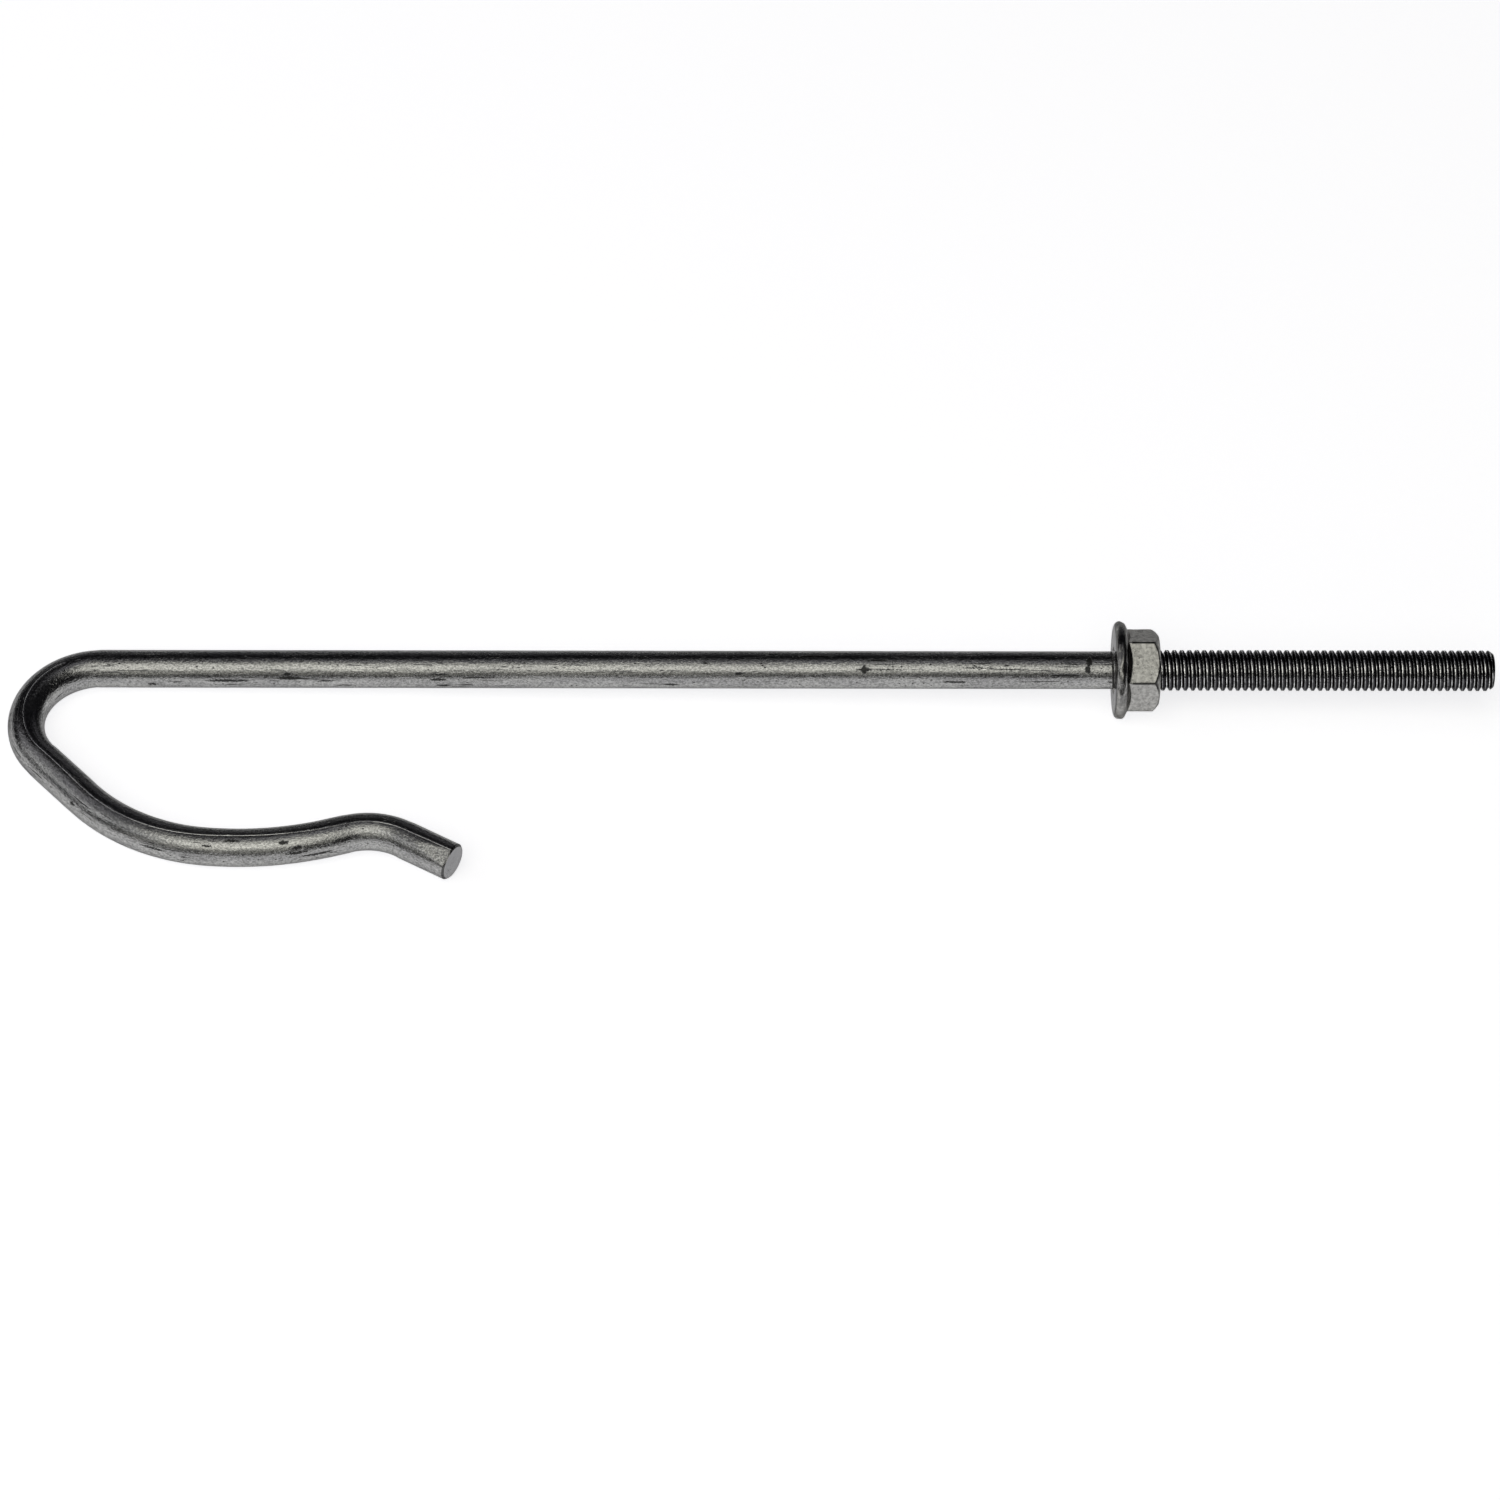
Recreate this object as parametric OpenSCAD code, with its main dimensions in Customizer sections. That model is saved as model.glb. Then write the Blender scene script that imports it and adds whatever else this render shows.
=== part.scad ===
// Battery hold-down bolt: a round rod with a formed hook, and a hex flange nut on its thread.
// The hook drops into a slot of the battery tray, the rod passes up beside the battery, and the
// nut's flange pulls the cross bar down. Millimetres, +Z up. The bolt lies as it comes to rest,
// on the flange's rim and the outside of the hook. Z = 0 is the floor, and the origin is under
// the middle of the bolt, with the thread pointing along +X and the hook curling towards -Y.

/* [Rod] */
// Diameter of the plain rod
rod_d = 7.14; // [6:0.02:7.5]
// Straight length from the start of the hook to the threaded end
shank_l = 262; // [180:1:350]

/* [Hook] */
// Radius of the tight crook where the shank turns back, on the rod's centre line
crook_r = 13; // [10:0.5:20]
// Angle through which the crook turns
crook_angle = 133.5; // [120:0.5:145]
// Straight arm after the crook
arm_l = 12.5; // [6:0.5:25]
// Radius of the belly, the lower side of the hook
belly_r = 37; // [30:0.5:50]
// Angle through which the belly turns
belly_angle = 40.5; // [34:0.5:46]
// Radius of the long sweep after the belly
sweep_r = 60; // [45:1:80]
// Angle through which the sweep turns
sweep_angle = 22; // [15:0.5:28]
// Straight neck before the tip is bent outwards
neck_l = 3.5; // [2:0.5:12]
// Radius of the outward bend at the tip
flick_r = 13.5; // [10:0.5:20]
// Angle of the outward bend at the tip
flick_angle = 46; // [36:0.5:52]
// Straight length of the tip after its bend
tip_l = 10.6; // [6:0.1:20]
// Width of the bevel round the cut end of the tip
tip_bevel = 0.35; // [0.2:0.05:0.6]
// Depth, at the cut end, of the flat that the shear pressed on one side of the tip
flat_depth = 0.46; // [0.2:0.02:0.8]
// Length of that flat, from the cut end
flat_l = 7; // [4:0.5:10]
// Where the flat faces, from the inside of the hook up over its top
flat_angle = 118; // [0:1:359]

/* [Thread] */
// Diameter over the crests of the thread
thread_d = 7.72; // [7.6:0.02:8]
// Advance of the thread for one turn
thread_pitch = 1.411; // [1.25:0.001:1.6]
// Length of the thread, from its end back along the shank
thread_l = 72; // [50:1:90]
// Length over which the first crest rises out of the shank
thread_start_l = 1; // [0.4:0.1:1.5]
// Diameter of the flat at the very end of the thread
point_d = 6.4; // [5.8:0.1:7.2]
// Length of the chamfer at the end of the thread
point_l = 0.9; // [0.6:0.1:1.5]

/* [Nut] */
// Turns of the thread that show before the nut's bearing face
nut_turns = 0.38; // [0.3:0.01:28]
// Height of the nut with its flange
nut_h = 8.45; // [7:0.05:10]
// Width across the flats of the hexagon
nut_flats = 13.75; // [12.7:0.05:15]
// Angle by which the nut is turned about the thread as it lies
nut_angle = 58.6; // [0:0.1:59.9]
// Diameter of the flange
flange_d = 18.6; // [17.6:0.1:22]
// Thickness of the flange at its round rim
rim_h = 2.2; // [1.2:0.1:2.6]
// Slope of the flange's back, measured from the bearing face
flange_slope = 27; // [20:1:40]
// Diameter of the flat on the nut's outer end
nut_end_d = 13; // [11.5:0.1:13.6]
// How far the domed chamfer comes down the corners of the hexagon
crown_h = 1.26; // [0.8:0.02:2]
// Play between the nut's bore and the crests of the thread, on the radius
thread_gap = 0.06; // [0.03:0.01:0.1]
// Depth of the countersink at the mouths of the bore
countersink = 0.5; // [0.2:0.05:0.8]

/* [Hidden] */
$fn = 96;
hex_sides = 6;
right_angle = 90;
degrees_per_radian = 180 / PI;
eps = 0.01;
// The lengths of the rod stop this far short of where they meet, and a barrel closes the gap. It
// swells out of the rod by a hair and sinks into it again at its ends, so that every edge is a
// clear crossing of two surfaces.
joint_gap = 0.05;
joint_half = 0.5;
joint_step = 0.01;
joint_sink = 0.02;
// How far the flange's slope is set into its round rim, so that the two cross
rim_bite = 0.02;

rod_r = rod_d / 2;
thread_r = thread_d / 2;

flange_r = flange_d / 2;
rim_r = rim_h / 2;

// Centre line of the hook. A station is [x, y, heading]: the point that the line has got to, and
// the direction in which it goes on. A positive angle bends it to the left.
function after_straight(s, l) = [s[0] + l * cos(s[2]), s[1] + l * sin(s[2]), s[2]];
function after_bend(s, r, angle) =
    let(
        out = sign(angle) * r,
        heading = s[2] + angle
    )
    [
        s[0] + out * (sin(heading) - sin(s[2])),
        s[1] - out * (cos(heading) - cos(s[2])),
        heading
    ];

crook_start = [0, 0, 180];
arm_start = after_bend(crook_start, crook_r, crook_angle);
belly_start = after_straight(arm_start, arm_l);
sweep_start = after_bend(belly_start, belly_r, belly_angle);
neck_start = after_bend(sweep_start, sweep_r, sweep_angle);
flick_start = after_straight(neck_start, neck_l);
tip_start = after_bend(flick_start, flick_r, -flick_angle);
tip_end = after_straight(tip_start, tip_l);

// Places along the shank, measured from the start of the hook
thread_start_x = shank_l - thread_l;
nut_x = thread_start_x + nut_turns * thread_pitch;

// Section of the thread: a groove with 60 degrees between its flanks, then the crest. Rings one
// pitch apart stand for the single groove that winds round the real thread.
groove_depth = 0.42 * thread_pitch;
groove_floor = 0.06 * thread_pitch;
flank_l = groove_depth * tan(60 / 2);
groove_l = 2 * flank_l + groove_floor;
crest_l = thread_pitch - groove_l;
first_groove_x = thread_start_x + thread_start_l;
groove_count = floor((shank_l - point_l + crest_l - first_groove_x) / thread_pitch);

// The bolt lies on the arm of the hook and on the flange's rim. It is tipped about the arm until
// the rim, which stands out further than the rod, comes down to the same floor.
arm_way = [cos(arm_start[2]), sin(arm_start[2]), 0];
rim_x = nut_x + rim_r;
reach = abs((rim_x - arm_start[0]) * arm_way[1] + arm_start[1] * arm_way[0]);
lie_angle = asin((flange_r - rod_r) / reach);

// Middle of the bolt's outline, seen from above
hook_left = -(crook_r + rod_r);
hook_front = min(
    tip_end[1] - rod_r * cos(tip_end[2]),
    sweep_start[1] - sweep_r * (1 - cos(sweep_start[2])) - rod_r
);
middle = [(hook_left + shank_l) / 2, (hook_front + flange_r) / 2];

// The nut's outer end is turned to a dome, through the edge of the flat and the cut-down corners
corner_r = nut_flats / 2 / cos(right_angle / 3);
end_r = nut_end_d / 2;
corner_h = nut_h - crown_h;
dome_z = (end_r * end_r + nut_h * nut_h - corner_r * corner_r - corner_h * corner_h) / (2 * crown_h);
dome_r = sqrt(end_r * end_r + (nut_h - dome_z) * (nut_h - dome_z));

// Lays what was drawn round the straight shank down on the floor
module lie_down() {
    translate([arm_start[0] - middle[0], arm_start[1] - middle[1], rod_r])
        rotate(a = lie_angle, v = arm_way)
            translate([-arm_start[0], -arm_start[1], 0])
                children();
}

// Stands a part, drawn upwards from the floor, along the shank at x
module on_shank(x) {
    translate([x, 0, 0])
        rotate([0, right_angle, 0])
            children();
}

// Stands what was drawn along +X at a station, heading the way the centre line goes on
module at_station(s) {
    translate([s[0], s[1], 0])
        rotate([0, 0, s[2]])
            children();
}

module straight(s, l) {
    at_station(s)
        on_shank(joint_gap)
            cylinder(r = rod_r, h = l - 2 * joint_gap);
}

module bend(s, r, angle) {
    side = sign(angle);
    gap_angle = joint_gap / r * degrees_per_radian;
    first = side > 0 ? -right_angle : right_angle + angle;
    at_station(s)
        translate([0, side * r, 0])
            rotate([0, 0, first + gap_angle])
                rotate_extrude(angle = abs(angle) - 2 * gap_angle)
                    translate([r, 0])
                        circle(r = rod_r);
}

// Closes the rod between two lengths that meet at a station
module join_at(s) {
    at_station(s)
        on_shank(0)
            rotate_extrude()
                polygon([
                    [0, -joint_half],
                    [rod_r - joint_sink, -joint_half],
                    [rod_r + joint_step, 0],
                    [rod_r - joint_sink, joint_half],
                    [0, joint_half]
                ]);
}

// Corners of the groove that starts at x along the shank
function groove(x) = [
    [thread_r, x],
    [thread_r - groove_depth, x + flank_l],
    [thread_r - groove_depth, x + flank_l + groove_floor],
    [thread_r, x + groove_l]
];

// Plain shank, the first crest rising out of it, the thread and its chamfered end
module shank() {
    on_shank(0)
        rotate_extrude()
            polygon([
                [0, joint_gap],
                [rod_r, joint_gap],
                [rod_r, thread_start_x],
                for (i = [0 : groove_count - 1]) each groove(first_groove_x + i * thread_pitch),
                [thread_r, shank_l - point_l],
                [point_d / 2, shank_l],
                [0, shank_l]
            ]);
}

// The straight end of the hook, with a bevel round its cut face and a flat on one side
module tip() {
    difference() {
        at_station(tip_start)
            on_shank(0)
                rotate_extrude()
                    polygon([
                        [0, joint_gap],
                        [rod_r, joint_gap],
                        [rod_r, tip_l - tip_bevel],
                        [rod_r - tip_bevel, tip_l],
                        [0, tip_l]
                    ]);
        flat_cut();
    }
}

// What the shear pressed away: the flat comes out of the rod's skin and deepens towards the cut end
module flat_cut() {
    at_station(tip_end)
        rotate([flat_angle, 0, 0])
            translate([-flat_l, rod_r, 0])
                rotate([0, 0, -atan(flat_depth / flat_l)])
                    translate([-rod_r, 0, -rod_d])
                        cube([flat_l + rod_d, rod_r, 2 * rod_d]);
}

module hook_rod() {
    color([0.23, 0.23, 0.25])
        lie_down() {
            shank();
            bend(crook_start, crook_r, crook_angle);
            straight(arm_start, arm_l);
            bend(belly_start, belly_r, belly_angle);
            bend(sweep_start, sweep_r, sweep_angle);
            straight(neck_start, neck_l);
            bend(flick_start, flick_r, -flick_angle);
            tip();
            for (s = [crook_start, arm_start, belly_start, sweep_start, neck_start, flick_start, tip_start])
                join_at(s);
        }
}

// Flange with a flat bearing face below, a round rim and a sloping back
module flange() {
    rim_centre_r = flange_r - rim_r;
    slope_r = rim_centre_r + (rim_r - rim_bite) * sin(flange_slope);
    slope_z = rim_r + (rim_r - rim_bite) * cos(flange_slope);
    // The slope runs on to here, inside the hexagon
    inner_r = nut_flats / 2 - rim_r;
    rotate_extrude() {
        translate([rim_centre_r, rim_r])
            circle(r = rim_r);
        polygon([
            [0, 0],
            [rim_centre_r, 0],
            [rim_centre_r, rim_r],
            [slope_r, slope_z],
            [inner_r, slope_z + (slope_r - inner_r) * tan(flange_slope)],
            [0, slope_z + (slope_r - inner_r) * tan(flange_slope)]
        ]);
    }
}

module hexagon() {
    intersection() {
        rotate([0, 0, nut_angle])
            cylinder(r = corner_r, h = nut_h, $fn = hex_sides);
        translate([0, 0, dome_z])
            sphere(r = dome_r);
    }
}

// The bore that runs over the thread, opened out at both mouths
module nut_bore() {
    bore_r = thread_r + thread_gap;
    translate([0, 0, -eps])
        cylinder(r = bore_r, h = nut_h + 2 * eps);
    translate([0, 0, -eps])
        cylinder(r1 = bore_r + countersink + eps, r2 = bore_r, h = countersink + eps);
    translate([0, 0, nut_h - countersink])
        cylinder(r1 = bore_r, r2 = bore_r + countersink + eps, h = countersink + eps);
}

module flange_nut() {
    color([0.58, 0.58, 0.55])
        lie_down()
            on_shank(nut_x)
                difference() {
                    union() {
                        flange();
                        hexagon();
                    }
                    nut_bore();
                }
}

hook_rod();
flange_nut();
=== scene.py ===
"""Looks of the battery hold-down bolt: a drawn hook rod with a rolled thread, and a flange nut.

Two meshes replace the two solids. They keep the solids' form and sizes and are built as in the
part's source: in millimetres, with the hook starting at the origin, the shank along +X to the
threaded end and the hook curling towards -Y. to_row then lays them down in the row frame.
"""
import math

import bpy
import numpy as np
from mathutils import Matrix, Vector


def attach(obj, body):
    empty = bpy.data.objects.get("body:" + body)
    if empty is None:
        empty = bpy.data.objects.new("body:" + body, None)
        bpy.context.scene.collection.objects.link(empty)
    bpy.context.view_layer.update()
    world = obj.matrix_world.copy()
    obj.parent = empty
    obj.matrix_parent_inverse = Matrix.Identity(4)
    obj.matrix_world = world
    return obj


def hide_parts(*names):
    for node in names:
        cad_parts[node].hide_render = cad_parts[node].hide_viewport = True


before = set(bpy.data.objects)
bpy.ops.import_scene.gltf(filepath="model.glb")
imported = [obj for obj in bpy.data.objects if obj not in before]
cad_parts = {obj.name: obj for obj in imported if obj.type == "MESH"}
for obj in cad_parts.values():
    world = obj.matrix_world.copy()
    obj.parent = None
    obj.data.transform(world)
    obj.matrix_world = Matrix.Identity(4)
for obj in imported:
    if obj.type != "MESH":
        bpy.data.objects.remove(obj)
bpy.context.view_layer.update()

MM = 0.001
FULL_TURN = 2 * math.pi

# Sizes, as in the part's source
ROD_R = 7.14 / 2
SHANK_L = 262.0
CROOK_R, CROOK_TURN = 13.0, 133.5
ARM_L = 12.5
BELLY_R, BELLY_TURN = 37.0, 40.5
SWEEP_R, SWEEP_TURN = 60.0, 22.0
NECK_L = 3.5
FLICK_R, FLICK_TURN = 13.5, 46.0
TIP_L, TIP_BEVEL = 10.6, 0.35
FLAT_DEPTH, FLAT_L, FLAT_ANGLE = 0.46, 7.0, 118.0
THREAD_R, PITCH = 7.72 / 2, 1.411
THREAD_X = SHANK_L - 72.0
POINT_R, POINT_L = 3.2, 0.9
NUT_X = THREAD_X + 0.38 * PITCH
NUT_H, NUT_FLATS, NUT_TURN = 8.45, 13.75, 58.6
FLANGE_R, RIM_R, SLOPE = 18.6 / 2, 1.1, 27.0
NUT_END_R, CROWN_H = 6.5, 1.26
BORE_R, SINK = THREAD_R + 0.06, 0.5
MOUTH_R = BORE_R + SINK
RIM_CENTRE_R = FLANGE_R - RIM_R

# The thread's form. One crest is seen in the photo at this place on the shank, at this angle
# about +X from +Y. The profile is given for half a turn from a crest to a root: share of the
# pitch, and depth under the crests' radius.
CREST_X, CREST_ANGLE = 252.78, 39.0
CREST_S = -CREST_X - PITCH * (180.0 - CREST_ANGLE) / 360
HALF_PROFILE = [
    (0.0, 0.010), (0.06, 0.004), (0.13, 0.008), (0.18, 0.030), (0.215, 0.085), (0.30, 0.290),
    (0.41, 0.555), (0.45, 0.590), (0.50, 0.598),
]
PROFILE = [(-share, THREAD_R - depth) for share, depth in HALF_PROFILE[:0:-1]]
PROFILE += [(share, THREAD_R - depth) for share, depth in HALF_PROFILE[:-1]]
# The thread reaches its full height this far past its start
RUN_OUT = 1.3

# The rod's surface: how far it stays within the solid, and how far it wanders from true
ROD_INSET, THREAD_INSET, FLAT_INSET = 0.008, 0.012, 0.004
ROD_WANDER, ROD_RIPPLE, THREAD_RIPPLE = 0.006, 0.0025, 0.010
# A bent wire flattens across the bend: by this share of its radius where the bend is as tight as
# that radius, and by less in a wider bend
FLATTENING = 0.1071
# The line that the forming tool pinched up along the top of the hook: its place round the wire in
# degrees, its height, the width of its foot, and where it starts and where it has its full height
PINCH_ANGLE, PINCH_H, PINCH_W = 91.0, 0.028, 0.5
PINCH_START, PINCH_FULL = 6.0, 22.0

# Rings that close the rod's two ends: share of the end's radius, and depth of the dip there
TIP_CAP, TIP_DIP = [(0.9, 0.0), (0.6, 0.02), (0.3, 0.03)], 0.03
POINT_CAP, POINT_DIP = [(0.93, 0.0), (0.72, 0.09), (0.4, 0.15)], 0.17

# The nut's surface
CORNER_SOFT = 0.30
THREAD_PLAY = 0.055
RIM_DENT, SKIN_DENT, END_DENT = 0.09, 0.018, 0.012

# Fineness of the meshes, and the two ends of the thread's grid: at the rod's end and on the shank
AROUND = 80
ANGLES = np.arange(AROUND) * FULL_TURN / AROUND
THREAD_END = -SHANK_L + 0.005
THREAD_SHANK = -THREAD_X + 2.0
HOOK_STEP, TIP_STEP, TIP_FINE_L = 1.0, 0.5, 9.0
NUT_PER_SIDE, NUT_CROWDING = 44, 0.86
BORE_RINGS = 84


# Centre line, as in the part's source. A station is (x, y, heading in degrees).
def after_straight(start, length):
    heading = math.radians(start[2])
    return (start[0] + length * math.cos(heading), start[1] + length * math.sin(heading), start[2])


def after_bend(start, radius, turn):
    before, after = math.radians(start[2]), math.radians(start[2] + turn)
    out = math.copysign(radius, turn)
    return (
        start[0] + out * (math.sin(after) - math.sin(before)),
        start[1] - out * (math.cos(after) - math.cos(before)),
        start[2] + turn,
    )


CROOK = (0.0, 0.0, 180.0)
ARM = after_bend(CROOK, CROOK_R, CROOK_TURN)
BELLY = after_straight(ARM, ARM_L)
SWEEP = after_bend(BELLY, BELLY_R, BELLY_TURN)
NECK = after_bend(SWEEP, SWEEP_R, SWEEP_TURN)
FLICK = after_straight(NECK, NECK_L)
TIP = after_bend(FLICK, FLICK_R, -FLICK_TURN)
# Each run of the hook: where it starts, its radius if it is a bend, and its turn or length
RUNS = [
    (CROOK, CROOK_R, CROOK_TURN),
    (ARM, None, ARM_L),
    (BELLY, BELLY_R, BELLY_TURN),
    (SWEEP, SWEEP_R, SWEEP_TURN),
    (NECK, None, NECK_L),
    (FLICK, FLICK_R, -FLICK_TURN),
    (TIP, None, TIP_L),
]
RUN_LENGTHS = [
    amount if radius is None else radius * math.radians(abs(amount)) for _, radius, amount in RUNS
]
HOOK_L = sum(RUN_LENGTHS)


def station(along):
    """Point, heading and bend (one over the radius, signed) of the centre line.

    along is 0 where the hook starts, grows towards its tip and is negative on the shank.
    """
    if along <= 0:
        return -along, 0.0, CROOK[2], 0.0
    for (start, radius, amount), length in zip(RUNS, RUN_LENGTHS):
        if along <= length + 1e-9 or start is TIP:
            if radius is None:
                return *after_straight(start, along), 0.0
            turn = math.copysign(math.degrees(along / radius), amount)
            return *after_bend(start, radius, turn), math.copysign(1 / radius, amount)
        along -= length


def lie_down():
    """Turn and shift that lay the bolt on the floor, on the hook's arm and the flange's rim."""
    heading = math.radians(ARM[2])
    way = np.array([math.cos(heading), math.sin(heading), 0.0])
    rim_x = NUT_X + RIM_R
    reach = abs((rim_x - ARM[0]) * way[1] + ARM[1] * way[0])
    angle = math.asin((FLANGE_R - ROD_R) / reach)
    tip_end = after_straight(TIP, TIP_L)
    front = min(
        tip_end[1] - ROD_R * math.cos(math.radians(tip_end[2])),
        SWEEP[1] - SWEEP_R * (1 - math.cos(math.radians(SWEEP[2]))) - ROD_R,
    )
    middle = ((SHANK_L - CROOK_R - ROD_R) / 2, (front + FLANGE_R) / 2)
    cross = np.array([[0, 0, way[1]], [0, 0, -way[0]], [-way[1], way[0], 0]])
    turn = np.eye(3) + math.sin(angle) * cross + (1 - math.cos(angle)) * cross @ cross
    on_floor = np.array([ARM[0] - middle[0], ARM[1] - middle[1], ROD_R])
    return turn, on_floor - turn @ np.array([ARM[0], ARM[1], 0.0])


TURN, MOVE = lie_down()


def to_row(points):
    """From the bolt's own frame in millimetres to the row frame in metres."""
    return (np.asarray(points, float) @ TURN.T + MOVE) * MM


# Meshes
def waves(seed, count, length, turns):
    """A smooth random field of place and angle, about -1 to 1, with waves of some length."""
    rng = np.random.default_rng(seed)
    terms = []
    for _ in range(count):
        frequency = rng.uniform(0.5, 1.5) / length
        turn = int(rng.integers(-turns, turns + 1))
        phase = rng.uniform(0, FULL_TURN)
        weight = rng.uniform(0.5, 1)
        terms.append((frequency, turn, phase, weight))
    total = math.sqrt(sum(weight ** 2 for *_, weight in terms) / 2) * 1.6

    def field(place, angle):
        return sum(
            weight * np.sin(FULL_TURN * frequency * place + turn * angle + phase)
            for frequency, turn, phase, weight in terms
        ) / total

    return field


def make_mesh(name, points, faces, attributes, smooth_angle):
    mesh = bpy.data.meshes.new(name)
    mesh.from_pydata([tuple(p) for p in to_row(points)], [], faces)
    mesh.validate()
    for key, values in attributes.items():
        attribute = mesh.attributes.new(key, "FLOAT_VECTOR", "POINT")
        attribute.data.foreach_set("vector", np.asarray(values, np.float32).ravel())
    mesh.shade_smooth()
    mesh.set_sharp_from_angle(angle=math.radians(smooth_angle))
    obj = bpy.data.objects.new(name, mesh)
    bpy.context.scene.collection.objects.link(obj)
    return obj


def smoothstep(x, low, high):
    share = np.clip((x - low) / (high - low), 0, 1)
    return share * share * (3 - 2 * share)


rod_wander = waves(seed=3, count=14, length=16.0, turns=3)
rod_ripple = waves(seed=8, count=18, length=4.5, turns=5)


def off_line(along, angle):
    """Millimetres round the wire from the pinched line."""
    middle = math.radians(PINCH_ANGLE) + 0.06 * np.sin(along / 7.0)
    return (np.mod(angle - middle + math.pi, FULL_TURN) - math.pi) * ROD_R


def rod_radius(along, angle):
    """Drawn wire isn't quite true: it wanders by a few hundredths of a millimetre."""
    off = np.abs(off_line(along, angle))
    beside = PINCH_H * smoothstep(along, PINCH_START, PINCH_FULL) * (1 - np.exp(-off / PINCH_W))
    uneven = ROD_WANDER * rod_wander(along, angle) + ROD_RIPPLE * rod_ripple(along, angle)
    return ROD_R - ROD_INSET + uneven - beside


def thread_radius(along, angle, profile_r):
    """The thread's profile, faded into the shank and cut by the chamfer at the end."""
    ripple = THREAD_RIPPLE * rod_ripple(along * 3, angle)
    fade = smoothstep(-along, THREAD_X - 0.1, THREAD_X + RUN_OUT)
    plain = rod_radius(along, angle)
    radius = plain + (profile_r - THREAD_INSET + ripple - plain) * fade
    chamfer = POINT_R + (along + SHANK_L) * (THREAD_R - POINT_R) / POINT_L
    return np.minimum(radius, chamfer)


def tip_radius(along, angle, radius):
    """The tip's bevel, and the flat that the shear pressed on one side as it cut the wire."""
    over = along - (HOOK_L - TIP_BEVEL)
    if over > 0:
        radius = radius - over - 0.02 * smoothstep(over, TIP_BEVEL * 0.6, TIP_BEVEL)
    depth = FLAT_DEPTH * max(0.0, 1 - (HOOK_L - along) / FLAT_L)
    towards_flat = np.maximum(np.cos(angle - math.radians(FLAT_ANGLE)), 0.2)
    return np.minimum(radius, (ROD_R - depth - FLAT_INSET) / towards_flat)


def hook_radius(along):
    """Radius round the wire at one place between the thread and the tip."""
    radius = rod_radius(np.full(AROUND, along), ANGLES)
    bend = station(along)[3]
    flattened = FLATTENING * ROD_R * abs(bend) * np.cos(ANGLES) ** 2
    return tip_radius(along, ANGLES, radius * (1 - flattened))


def ring_points(along, radius):
    """Points of a section of the wire, from the inside of the bend over the top."""
    x, y, heading, _ = station(along)
    heading = math.radians(heading)
    inward = np.array([-math.sin(heading), math.cos(heading), 0.0])
    up = np.array([0.0, 0.0, 1.0])
    across = np.outer(radius * np.cos(ANGLES), inward) + np.outer(radius * np.sin(ANGLES), up)
    return np.array([x, y, 0.0]) + across


class RodMesh:
    """The rod's vertices and faces.

    Each vertex also keeps its place on the wire, in millimetres: how far along it, how far to the
    inside of the bend and how far up.
    """

    def __init__(self):
        self.points, self.wire, self.faces = [], [], []

    def add_ring(self, along, radius):
        first = len(self.points)
        self.points.extend(ring_points(along, radius))
        self.wire.extend((along, r * np.cos(a), r * np.sin(a)) for r, a in zip(radius, ANGLES))
        return list(range(first, first + AROUND))

    def add_point(self, along, angle, radius):
        """Adds a vertex on the straight shank."""
        inside, up = radius * math.cos(angle), radius * math.sin(angle)
        self.points.append(np.array([-along, -inside, up]))
        self.wire.append((along, inside, up))
        return len(self.points) - 1

    def join(self, ring, next_ring):
        for j in range(AROUND):
            k = (j + 1) % AROUND
            self.faces.append((ring[j], ring[k], next_ring[k], next_ring[j]))

    def cap(self, ring, along, rings, middle_dip, at_tip):
        """Closes an end with rings that dip into the rod, and a middle point."""
        rim = np.array([self.points[i] for i in ring])
        rim_wire = np.array([self.wire[i] for i in ring])
        x, y, heading, _ = station(along)
        heading = math.radians(heading)
        inwards = np.array([math.cos(heading), math.sin(heading), 0.0]) * (-1 if at_tip else 1)
        middle = np.array([x, y, 0.0])
        for share, dip in rings:
            first = len(self.points)
            self.points.extend(middle + (rim - middle) * share + inwards * dip)
            self.wire.extend(rim_wire * np.array([1, share, share]))
            inner = list(range(first, first + AROUND))
            if at_tip:
                self.join(ring, inner)
            else:
                self.join(inner, ring)
            ring = inner
        centre = len(self.points)
        self.points.append(middle + inwards * middle_dip)
        self.wire.append((along, 0.0, 0.0))
        for j in range(AROUND):
            k = (j + 1) % AROUND
            self.faces.append((ring[j], ring[k], centre) if at_tip else (centre, ring[k], ring[j]))


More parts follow.
